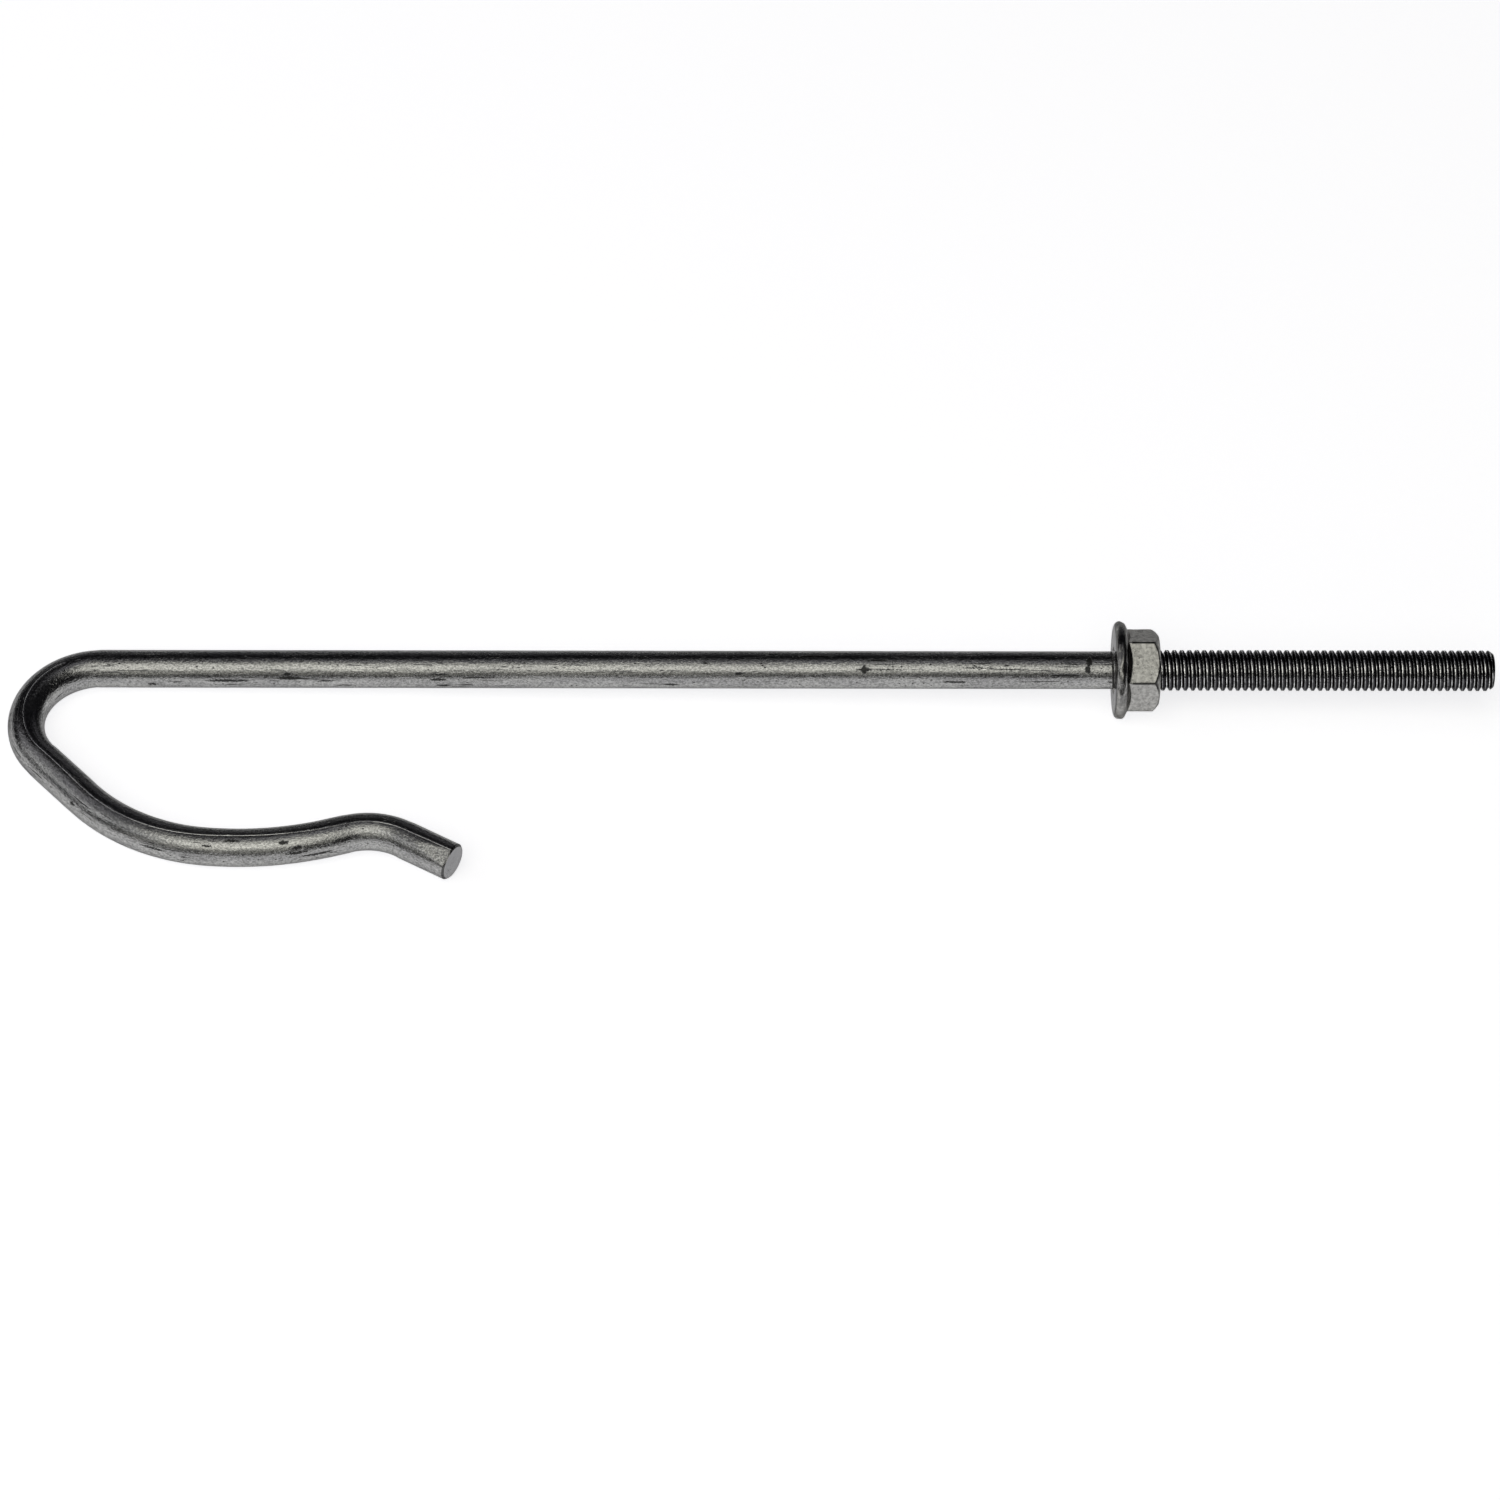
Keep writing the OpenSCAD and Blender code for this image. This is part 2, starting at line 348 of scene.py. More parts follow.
def add_thread(mesh, end_ring, shank_ring):
    """Rows of vertices follow the helix, so each crest and root is an edge of the grid."""
    close = 0.004
    first_turn = math.floor((THREAD_END - 1.2 * PITCH - CREST_S) / PITCH)
    last_turn = math.ceil((THREAD_SHANK + 0.2 * PITCH - CREST_S) / PITCH)
    rows = []
    for turn in range(first_turn, last_turn + 1):
        for share, profile_r in PROFILE:
            along = CREST_S + PITCH * (turn + share) + PITCH * ANGLES / FULL_TURN
            radius = thread_radius(along, ANGLES, profile_r)
            row = []
            for j in range(AROUND):
                if along[j] <= THREAD_END + close:
                    row.append(end_ring[j])
                elif along[j] >= THREAD_SHANK - close:
                    row.append(shank_ring[j])
                else:
                    row.append(mesh.add_point(along[j], ANGLES[j], radius[j]))
            rows.append(row)
    # From the last column a row goes on in the first column of the row one turn further
    turn_rows = len(PROFILE)
    for i in range(len(rows) - 1):
        for j in range(AROUND):
            if j < AROUND - 1:
                quad = (rows[i][j], rows[i][j + 1], rows[i + 1][j + 1], rows[i + 1][j])
            elif i + 1 + turn_rows < len(rows):
                quad = (rows[i][j], rows[i + turn_rows][0], rows[i + 1 + turn_rows][0], rows[i + 1][j])
            else:
                continue
            face = [v for n, v in enumerate(quad) if v != quad[n - 1]]
            if len(set(face)) >= 3:
                mesh.faces.append(tuple(face))


def hook_stations():
    """Places of the rings from the thread to the tip, closer together towards the tip."""
    places = list(np.arange(THREAD_SHANK + HOOK_STEP, HOOK_L - TIP_FINE_L, HOOK_STEP))
    places += list(np.arange(places[-1] + TIP_STEP, HOOK_L - TIP_BEVEL - 0.1, TIP_STEP))
    places += [HOOK_L - TIP_BEVEL * share for share in (1.15, 0.95, 0.7, 0.4, 0.15, 0.0)]
    return places


def build_rod():
    mesh = RodMesh()
    end_ring = mesh.add_ring(THREAD_END, np.full(AROUND, POINT_R))
    shank_ring = mesh.add_ring(THREAD_SHANK, rod_radius(np.full(AROUND, THREAD_SHANK), ANGLES))
    add_thread(mesh, end_ring, shank_ring)
    last = shank_ring
    for along in hook_stations():
        ring = mesh.add_ring(along, hook_radius(along))
        mesh.join(last, ring)
        last = ring
    mesh.cap(last, HOOK_L, TIP_CAP, TIP_DIP, at_tip=True)
    mesh.cap(end_ring, THREAD_END, POINT_CAP, POINT_DIP, at_tip=False)
    wire = np.array(mesh.wire)
    line = np.zeros_like(wire)
    line[:, 0] = off_line(wire[:, 0], np.arctan2(wire[:, 2], wire[:, 1]))
    return make_mesh("hook_rod_drawn", mesh.points, mesh.faces, {"wire": wire, "line": line}, 42)


def nut_angles():
    """Angles round the nut, closer together towards the hexagon's corners."""
    turns = np.arange(NUT_PER_SIDE * 6) / NUT_PER_SIDE
    side = np.floor(turns)
    share = turns - side
    share = share - NUT_CROWDING * np.sin(FULL_TURN * share) / FULL_TURN
    return math.radians(NUT_TURN) + math.radians(60) * (side + share)


def hex_radius(angle):
    """Distance from the nut's axis to the hexagon's face, its corners rounded."""
    flat = NUT_FLATS / 2
    corner_centre = (flat - CORNER_SOFT) / math.cos(math.radians(30))
    off = (angle - math.radians(NUT_TURN)) % math.radians(60)
    off = np.minimum(off, math.radians(60) - off)
    edge = math.atan(CORNER_SOFT * 0.5 / (corner_centre + CORNER_SOFT * math.cos(math.radians(30))))
    reach = np.sqrt(np.maximum(CORNER_SOFT ** 2 - (corner_centre * np.sin(off)) ** 2, 0))
    corner = corner_centre * np.cos(off) + reach
    return np.where(off < edge, corner, flat / np.cos(math.radians(30) - off))


class NutRings:
    """The nut's rings, from the bearing face round the outside and back through the bore."""

    def __init__(self, count):
        self.count = count
        self.radius, self.height, self.soft, self.crown, self.in_bore = [], [], [], [], []

    def add(self, radius, height, soft=0.0, crown=0.0, in_bore=False):
        """Radius and height may vary round the nut; soft rounds the ring off, and the next value sets the
        ring's painted shade.
        """
        self.radius.append(np.full(self.count, radius))
        self.height.append(np.full(self.count, height))
        self.soft.append(soft)
        self.crown.append(crown)
        self.in_bore.append(in_bore)


def edge_soft(share, low=0.0, high=1.0):
    """Softness of a face's ring, by its share of the way over the face: its edges are soft."""
    return 0.5 if share < low or share > high else 0.0


def add_flange(rings, hexagon):
    """Bearing face, round rim and sloping back. Returns the height of the hexagon's foot."""
    for share in (0.0, 0.04, 0.1, 0.3, 0.55, 0.8, 0.95, 1.0):
        radius = MOUTH_R + (RIM_CENTRE_R - MOUTH_R) * share
        rings.add(radius, 0.0, edge_soft(share, low=0.05))
    for degrees in np.linspace(-80, 90 - SLOPE, 20):
        turn = math.radians(degrees)
        rings.add(RIM_CENTRE_R + RIM_R * math.cos(turn), RIM_R + RIM_R * math.sin(turn))
    slope = math.radians(SLOPE)
    top_r, top_z = RIM_CENTRE_R + RIM_R * math.sin(slope), RIM_R + RIM_R * math.cos(slope)
    foot_z = top_z + (top_r - hexagon) * math.tan(slope)
    for share in (0.12, 0.3, 0.5, 0.7, 0.84, 0.92, 0.97, 1.0):
        radius = top_r + (hexagon - top_r) * share
        rings.add(radius, top_z + (foot_z - top_z) * share, edge_soft(share, high=0.8))
    return foot_z


def add_hexagon(rings, hexagon, foot_z):
    """The hexagon's faces, the dome that chamfers them, and the flat outer end."""
    corner_r = NUT_FLATS / 2 / math.cos(math.radians(30))
    corner_h = NUT_H - CROWN_H
    dome_z = (NUT_END_R ** 2 + NUT_H ** 2 - corner_r ** 2 - corner_h ** 2) / (2 * CROWN_H)
    dome_r = math.hypot(NUT_END_R, NUT_H - dome_z)
    face_top = dome_z + np.sqrt(dome_r ** 2 - hexagon ** 2)
    for share in (0.015, 0.04, 0.08, 0.16, 0.28, 0.4, 0.52, 0.64, 0.76, 0.87, 0.93, 0.97, 0.99):
        rings.add(hexagon, foot_z + (face_top - foot_z) * share, edge_soft(share, 0.1, 0.9))
    # The dome's rings carry painted shade, most where they meet the faces
    for share in (0.0, 0.03, 0.08, 0.16, 0.35, 0.6, 0.82, 0.92, 0.97):
        radius = hexagon + (NUT_END_R - hexagon) * share
        height = dome_z + np.sqrt(dome_r ** 2 - radius ** 2)
        rings.add(radius, height, edge_soft(share, 0.1, 0.9), 1 - smoothstep(share, 0.2, 0.7))
    for share in (0.0, 0.03, 0.08, 0.3, 0.6, 0.9, 0.97, 1.0):
        rings.add(NUT_END_R + (MOUTH_R - NUT_END_R) * share, NUT_H, edge_soft(share, 0.1, 0.95))


def add_bore(rings):
    """The bore, which will carry the nut's thread, between its two countersinks."""
    for share in (0.1, 0.3, 0.6, 0.85):
        rings.add(MOUTH_R - SINK * share, NUT_H - SINK * share)
    for height in np.linspace(NUT_H - SINK, SINK, BORE_RINGS):
        rings.add(BORE_R, height, in_bore=True)
    for share in (0.15, 0.4, 0.7, 0.9):
        rings.add(BORE_R + SINK * share, SINK - SINK * share)


def round_off(grid, soft):
    """Draws each ring towards the mean of its two neighbours, by its own softness."""
    for _ in range(3):
        mean = (np.roll(grid, 1, 0) + np.roll(grid, -1, 0)) / 2
        grid += soft * (mean - grid)


def nut_thread(height, angle):
    """Radius of the nut's thread, clear of the rod's.

    It starts a pitch inside, so that the nut can run on to the start of the rod's thread.
    """
    about_x = np.arctan2(-np.cos(angle), np.sin(angle))
    past_crest = (NUT_X + height - CREST_X) / PITCH - (about_x - math.radians(CREST_ANGLE)) / FULL_TURN
    share = past_crest % 1.0
    share = np.where(share > 0.5, share - 1, share)
    shares = np.array([p[0] for p in PROFILE] + [0.5])
    radii = np.array([p[1] for p in PROFILE] + [PROFILE[0][1]])
    # The groove is wider than the crest that runs in it, by this share of the pitch on each side
    wider = 0.05
    groove = [np.interp(share + step, shares, radii) for step in (-wider, 0.0, wider)]
    groove = np.minimum(np.max(groove, axis=0) + THREAD_PLAY, BORE_R)
    begins = smoothstep(height, SINK * 0.4 + PITCH, SINK + 0.7 + PITCH)
    ends = 1 - smoothstep(height, NUT_H - SINK - 0.7, NUT_H - SINK * 0.4)
    return BORE_R + (groove - BORE_R) * begins * ends


def dent_nut(radius, height, angle, in_bore):
    """Cold-formed skin: uneven by a few hundredths of a millimetre, more along the rim."""
    swell = waves(seed=21, count=22, length=5.0, turns=9)
    rough = waves(seed=33, count=26, length=2.2, turns=17)
    outside = ~in_bore & (radius > MOUTH_R + 0.05)
    on_rim = smoothstep(radius, RIM_CENTRE_R, FLANGE_R - 0.2) * smoothstep(height, 0.02, 0.4)
    dent = np.minimum(0, SKIN_DENT * swell(height, angle) - 0.014)
    dent += on_rim * np.minimum(0, RIM_DENT * rough(height, angle) - 0.05)
    radius = radius + np.where(outside & (height > 0.01), dent, 0)
    end_dent = np.minimum(0, END_DENT * swell(radius, angle) - 0.01)
    height = height + np.where(outside & (height > NUT_H - 0.4), end_dent, 0)
    return radius, height


def build_nut():
    angle = nut_angles()
    count = len(angle)
    hexagon = hex_radius(angle)
    rings = NutRings(count)
    foot_z = add_flange(rings, hexagon)
    add_hexagon(rings, hexagon, foot_z)
    add_bore(rings)

    radius, height = np.array(rings.radius), np.array(rings.height)
    soft = np.array(rings.soft)[:, None]
    in_bore = np.array(rings.in_bore)[:, None]
    round_off(radius, soft)
    round_off(height, soft)
    radius = np.where(in_bore, nut_thread(height, angle), radius)
    radius, height = dent_nut(radius, height, angle, in_bore)

    # Place on the nut: height over the bearing face, then across towards +Y and +Z
    place = np.stack([height, radius * np.sin(angle), -radius * np.cos(angle)], -1).reshape(-1, 3)
    # Painted shade on the dome, for each vertex
    crown = np.repeat(rings.crown, count * 3).reshape(-1, 3)
    faces = []
    for i in range(len(rings.radius)):
        this, after = i * count, (i + 1) % len(rings.radius) * count
        for j in range(count):
            k = (j + 1) % count
            faces.append((this + j, this + k, after + k, after + j))
    points = place + np.array([NUT_X, 0.0, 0.0])
    return make_mesh("flange_nut_formed", points, faces, {"nut": place, "crown": crown}, 50)


# Materials
class Tree:
    """A material's nodes, wired by short calls. An input takes a value or a node's output."""

    def __init__(self, name):
        self.material = bpy.data.materials.new(name)
        self.material.use_nodes = True
        self.nodes = self.material.node_tree.nodes
        self.links = self.material.node_tree.links
        self.nodes.clear()

    def set_input(self, socket, value):
        if isinstance(value, bpy.types.NodeSocket):
            self.links.new(value, socket)
        else:
            socket.default_value = value

    def put(self, kind, inputs, output=0, **settings):
        node = self.nodes.new(kind)
        for key, value in settings.items():
            setattr(node, key, value)
        for key, value in inputs.items():
            self.set_input(node.inputs[key], value)
        return node.outputs[output]

    def attribute(self, name):
        return self.put("ShaderNodeAttribute", {}, "Vector", attribute_name=name)

    def part(self, vector, axis):
        return self.put("ShaderNodeSeparateXYZ", {0: vector}, axis)

    def math(self, operation, a, b=0.0, clamp=False):
        return self.put("ShaderNodeMath", {0: a, 1: b}, operation=operation, use_clamp=clamp)

    def plus(self, a, b, clamp=False):
        return self.math("ADD", a, b, clamp)

    def minus(self, a, b):
        return self.math("SUBTRACT", a, b)

    def times(self, a, b):
        return self.math("MULTIPLY", a, b)

    def larger(self, a, b, clamp=False):
        return self.math("MAXIMUM", a, b, clamp)

    def unsigned(self, a):
        return self.math("ABSOLUTE", a)

    def vector_math(self, operation, a, b, output="Vector"):
        return self.put("ShaderNodeVectorMath", {0: a, 1: b}, output, operation=operation)

    def scaled(self, vector, factors):
        return self.vector_math("MULTIPLY", vector, factors)

    def length(self, vector):
        return self.vector_math("LENGTH", vector, (0, 0, 0), "Value")

    def off_axis(self, vector):
        """Distance from the X axis."""
        return self.length(self.scaled(vector, (0, 1, 1)))

    def towards(self, vector, direction):
        return self.vector_math("DOT_PRODUCT", vector, direction, "Value")

    def noise(self, vector, scale, detail=2.0, roughness=0.5, distortion=0.0, output=0):
        inputs = {
            "Vector": vector, "Scale": scale, "Detail": detail, "Roughness": roughness,
            "Distortion": distortion,
        }
        return self.put("ShaderNodeTexNoise", inputs, output)

    def cells(self, vector, scale):
        """Distance to the nearest of many scattered points."""
        return self.put("ShaderNodeTexVoronoi", {"Vector": vector, "Scale": scale}, "Distance")

    def span(self, value, low, high, to_low=0.0, to_high=1.0):
        inputs = {"Value": value, "From Min": low, "From Max": high, "To Min": to_low, "To Max": to_high}
        return self.put("ShaderNodeMapRange", inputs, interpolation_type="SMOOTHSTEP")

    def mix(self, factor, a, b, blend="MIX"):
        node = self.nodes.new("ShaderNodeMix")
        node.data_type = "RGBA"
        node.blend_type = blend
        for index, value in ((0, factor), (6, a), (7, b)):
            self.set_input(node.inputs[index], value)
        return node.outputs[2]

    def dyed(self, colour, dye):
        return self.mix(1.0, colour, dye, "MULTIPLY")

    def bump(self, height, distance, strength):
        return self.put("ShaderNodeBump", {"Height": height, "Distance": distance, "Strength": strength})

    def surface(self, **inputs):
        inputs = {key.replace("_", " "): value for key, value in inputs.items()}
        shader = self.put("ShaderNodeBsdfPrincipled", inputs)
        material_output = self.nodes.new("ShaderNodeOutputMaterial")
        self.links.new(shader, material_output.inputs[0])
        return self.material


def grey(value, tint=(1, 1, 1)):
    return (value * tint[0], value * tint[1], value * tint[2], 1)


# Black marks seen on the wire: from and to along it, degrees round it, and half width; lengths in
# millimetres. Places on the shank are negative, those on the hook positive.
SHANK_MARKS = [
    (-102.8, -100.2, 89, 0.26), (-110.5, -108.2, 110, 0.20), (-128.2, -125.2, 103, 0.24),
    (-137.5, -131.2, 95, 0.28), (-148.0, -143.8, 80, 0.20), (-145.0, -142.2, 51, 0.26),
    (-143.9, -143.1, 50, 0.80), (-151.0, -145.2, 51, 0.08), (-160.8, -158.5, 91, 0.20),
    (-168.0, -161.0, 56, 0.10), (-174.0, -167.0, 52, 0.12), (-179.5, -173.0, 48, 0.10),
    (-184.2, -178.5, 34, 0.24), (-186.3, -185.3, 78, 0.90), (-186.0, -185.0, 52, 0.70),
    (-120.8, -119.2, 38, 0.24), (-108.8, -105.8, 358, 0.24), (-162.8, -158.5, 11, 0.26),
    (-10.5, -9.0, 357, 0.34), (-28.0, -20.2, 12, 0.28), (-38.2, -33.2, 22, 0.34),
    (-36.0, -34.5, 34, 0.30), (-44.3, -40.8, 12, 0.18), (-47.8, -44.3, 352, 0.18),
    (-65.8, -61.5, 34, 0.16), (-65.0, -62.0, 17, 0.26), (-65.8, -63.2, 351, 0.28),
    (-74.8, -67.5, 24, 0.16),
]
HOOK_MARKS = [
    (43.0, 44.2, 151, 0.34), (58.5, 63.0, 160, 0.20), (69.0, 71.0, 125, 0.18),
    (73.0, 76.0, 107, 0.20), (82.8, 84.6, 120, 0.34), (85.0, 87.0, 140, 0.34),
    (83.8, 88.0, 156, 0.24), (86.2, 92.0, 172, 0.22), (95.8, 97.8, 138, 0.20),
]
# How far noise shifts the marks' outlines
RAGGED = 0.9

# Directions to the lower edge of the wire and of the nut and to the nut's front, as the photo
# shows them, in the coordinates that each mesh keeps in its vertices
# These directions steer painted shade and light on the thread, the flange and the dome
WIRE_UNDERSIDE = (0, 0.78, -0.63)
NUT_UNDERSIDE, NUT_FRONT = (0, -0.78, -0.63), (0, -0.63, 0.78)

# Where the materials' zones begin, from no effect to the full one, in millimetres. Those of the
# wire are places along it or, with an R, distances from its centre line; the pinched line's half
# width is measured round it.
LINE_BEGINS, LINE_HALF_W = (6.0, 8.0), (0.17, 0.07)
THREAD_BEGINS = (-THREAD_X - 0.4, -THREAD_X - 0.9)
THREAD_ENDS = (0.03 - SHANK_L, 0.09 - SHANK_L)
ABOVE_ROOT_R = (THREAD_R - 0.57, THREAD_R - 0.50)
UNDER_CREST_R = (THREAD_R - 0.03, THREAD_R - 0.08)
TIP_FACE, TIP_FACE_R = (HOOK_L - 0.10, HOOK_L - 0.04), (3.2, 3.0)
TIP_EDGE, TIP_EDGE_R = (HOOK_L - 0.42, HOOK_L - 0.30), (3.05, 3.22)
# Those of the nut are distances from its axis, or heights over its bearing face.
CORNER_R, HEX_FOOT = (7.76, 7.84), (2.9, 3.2)
FLANGE_STAIN_R = (7.9, 8.3)
BEARING_H, BEARING_R = (0.22, 0.06), (MOUTH_R - 0.12, MOUTH_R + 0.18)
# The thread's painted glints: where they run, and their half width, as shares of the pitch
CREST_LINE, CREST_LINE_W = 0.10, (0.07, 0.03)
ROOT_LINE, ROOT_LINE_W = 0.55, (0.10, 0.045)


def drawn_noise(tree, place, stretch, *settings):
    """Noise that is drawn out along the wire."""
    return tree.noise(tree.scaled(place, (stretch, 1, 1)), *settings)


def hand_placed_marks(tree, place):
    """Near 0 in the middle of a mark, 1 at its outline, and more outside."""
    shift = tree.scaled(tree.noise(place, 3.6, 4.0, output="Color"), (RAGGED, RAGGED, RAGGED))
    ragged = tree.vector_math("ADD", place, shift)
    nearest = None
    for start, stop, degrees, half_width in SHANK_MARKS + HOOK_MARKS:
        angle = math.radians(degrees)
        centre = ((start + stop) / 2, ROD_R * math.cos(angle), ROD_R * math.sin(angle))
        centre = [c + RAGGED / 2 for c in centre]
        squeeze = (2 / (stop - start), 1 / half_width, 1 / half_width)
        away = tree.length(tree.scaled(tree.vector_math("SUBTRACT", ragged, centre), squeeze))
        nearest = away if nearest is None else tree.math("MINIMUM", nearest, away)
    return nearest


def scale_marks(tree, place, grain, lines):
    """Black streaks of scale: those listed, then finer ones in groups, and pits."""
    short = drawn_noise(tree, place, 0.28, 2.2, 4.0, 0.7, 0.6)
    group = drawn_noise(tree, place, 0.22, 0.22, 2.0, 0.5)
    mark = tree.times(tree.span(hand_placed_marks(tree, place), 1.20, 0.86), tree.span(grain, 0.30, 0.42))
    streak = tree.times(tree.span(lines, 0.625, 0.675), tree.span(group, 0.47, 0.57))
    crackle = tree.times(tree.span(short, 0.635, 0.68), tree.span(group, 0.44, 0.54))
    pits = tree.span(tree.cells(tree.scaled(place, (0.6, 1, 1)), 1.1), 0.17, 0.08)
    pit = tree.times(pits, tree.span(tree.noise(place, 0.45, 1.0, 0.5), 0.53, 0.59))
    return tree.larger(tree.larger(mark, streak), tree.larger(crackle, pit), clamp=True)


def pinched_line(tree, along):
    """The fine line that the forming tool left along the top of the hook; it carries a painted highlight.
    """
    off = tree.unsigned(tree.part(tree.attribute("line"), "X"))
    on_hook = tree.times(tree.span(along, *LINE_BEGINS), tree.span(along, *reversed(TIP_FACE)))
    return tree.times(tree.span(off, *LINE_HALF_W), on_hook)


def thread_with_painted_light(tree, place, base):
    """The thread is dyed dark, with painted shade in its grooves and on its lower side, and painted glints
    along each crest and each root.
    """
    along, inside, up = (tree.part(place, axis) for axis in "XYZ")
    radius = tree.off_axis(place)
    turned = tree.math("DIVIDE", tree.math("ARCTAN2", up, inside), FULL_TURN)
    phase = tree.minus(tree.math("DIVIDE", tree.minus(along, CREST_S), PITCH), turned)
    wander = tree.span(tree.noise(place, 1.6, 2.0, 0.6), 0.3, 0.7, -0.02, 0.02)

    def away_from(share):
        """Distance from the helix at this share of the pitch, itself as a share of the pitch."""
        shifted = tree.plus(phase, tree.plus(wander, 0.5 - share))
        return tree.unsigned(tree.minus(tree.math("FRACT", shifted), 0.5))

    # Painted light: the crest glints are brighter towards the top
    on_top = tree.span(up, 0.4, 2.6, 0.25, 1.0)
    crest = tree.times(tree.span(away_from(CREST_LINE), *CREST_LINE_W), on_top)
    painted_glints = tree.larger(crest, tree.span(away_from(ROOT_LINE), *ROOT_LINE_W))
    painted_glints = tree.times(painted_glints, tree.span(tree.noise(place, 2.6, 2.0, 0.6), 0.34, 0.52, 0.35, 1.0))
    # Painted shade: the crests grow darker towards the lower side
    underside_shading = tree.span(tree.towards(place, WIRE_UNDERSIDE), 0.6, 2.2)
    crest_dye_and_shade = tree.mix(underside_shading, grey(0.22, (1.0, 0.98, 1.08)), grey(0.12, (1.0, 0.98, 1.10)))
    # Painted shade: the flanks deep in the grooves are near black
    flank_shade = tree.times(tree.span(radius, *ABOVE_ROOT_R), tree.span(radius, *UNDER_CREST_R))
    thread_shaded_and_lit = tree.mix(flank_shade, tree.dyed(base, crest_dye_and_shade), grey(0.012))
    # Painted glints along each crest and each root
    thread_shaded_and_lit = tree.mix(painted_glints, thread_shaded_and_lit, grey(0.85))
    threaded = tree.times(tree.span(along, *THREAD_BEGINS), tree.span(along, *THREAD_ENDS))
    return tree.mix(threaded, base, thread_shaded_and_lit)


def cut_tip(tree, along, radius, base):
    """The tip's cut face is clean and grey, and its bevel is painted dark as shade."""
    face = tree.times(tree.span(along, *TIP_FACE), tree.span(radius, *TIP_FACE_R))
    bevel = tree.times(tree.span(along, *TIP_EDGE), tree.span(radius, *TIP_EDGE_R))
    base = tree.mix(tree.times(face, 0.6), base, grey(0.40, (0.97, 0.97, 1.0)))
    # Painted shade on the bevel
    return tree.mix(tree.times(bevel, 0.85), base, grey(0.05))


def rod_material():
    tree = Tree("drawn_steel")
    place = tree.attribute("wire")
    along = tree.part(place, "X")
    grain = drawn_noise(tree, place, 0.75, 3.0, 2.5, 0.65)
    coarse = drawn_noise(tree, place, 0.5, 1.3, 2.0, 0.5)
    patch = drawn_noise(tree, place, 0.10, 0.55, 3.0, 0.55)
    lines = drawn_noise(tree, place, 0.045, 3.0, 3.0, 0.6, 0.2)
    dark = scale_marks(tree, place, grain, lines)
    pinch_ridge_and_highlight = pinched_line(tree, along)

    base = tree.mix(tree.span(patch, 0.35, 0.65), grey(0.27), grey(0.345, (1.0, 1.0, 0.985)))
    base = tree.mix(tree.span(grain, 0.28, 0.72), tree.dyed(base, grey(0.58)), tree.dyed(base, grey(1.36)))
    # The pinched line stands up as a ridge; its near-white colour is a painted highlight
    base = tree.mix(tree.times(pinch_ridge_and_highlight, 0.95), base, grey(1.0))
    # Painted shade and glints on the thread
    base = thread_with_painted_light(tree, place, base)
    base = cut_tip(tree, along, tree.off_axis(place), base)
    base = tree.mix(tree.times(dark, 0.92), base, grey(0.02))

    rough = tree.plus(tree.span(patch, 0.3, 0.7, 0.17, 0.23), tree.span(grain, 0.3, 0.7, -0.03, 0.05))
    rough = tree.plus(rough, tree.times(dark, 0.25), clamp=True)
    height = tree.plus(tree.times(grain, 0.7), tree.times(coarse, 0.45))
    height = tree.plus(height, tree.times(lines, 0.25))
    height = tree.minus(height, tree.times(dark, 0.7))
    height = tree.plus(height, tree.times(pinch_ridge_and_highlight, 0.9))
    return tree.surface(
        Base_Color=base, Metallic=1.0, Roughness=rough, Specular_Tint=grey(0.45),
        Normal=tree.bump(height, 0.09 * MM, 0.9),
    )


def rim_stain_and_shading(tree, place, height, radius):
    """Blotches that run in arcs along the flange, and their noise; the blotches thin out towards its lower
    edge, which paints light there.
    """
    angle = tree.times(tree.math("ARCTAN2", tree.part(place, "Y"), tree.part(place, "Z")), 1.1)
    section = {0: tree.times(height, 1.5), 1: tree.times(radius, 1.5), 2: angle}
    arcs = tree.put("ShaderNodeCombineXYZ", section)
    in_arcs, all_over = tree.noise(arcs, 1.0, 4.0, 0.65, 0.5), tree.noise(place, 1.1, 4.0, 0.65, 0.5)
    blot = tree.plus(tree.times(in_arcs, 0.6), tree.times(all_over, 0.4))
    underside_shading = tree.span(tree.towards(place, NUT_UNDERSIDE), 5.5, 8.6, 1.0, 0.15)
    return tree.times(tree.span(blot, 0.60, 0.40, 0.1, 0.8), underside_shading), blot


def painted_edge_shade(tree, place, height, radius):
    """Painted shade: black lines down the hexagon's corners and along the foot of its dome, darkest in
    front.
    """
    corner = tree.times(tree.span(radius, *CORNER_R), tree.span(height, *HEX_FOOT))
    front = tree.span(tree.towards(place, NUT_FRONT), 5.0, 6.4, 0.25, 1.0)
    return tree.larger(corner, tree.times(tree.part(tree.attribute("crown"), "X"), front))


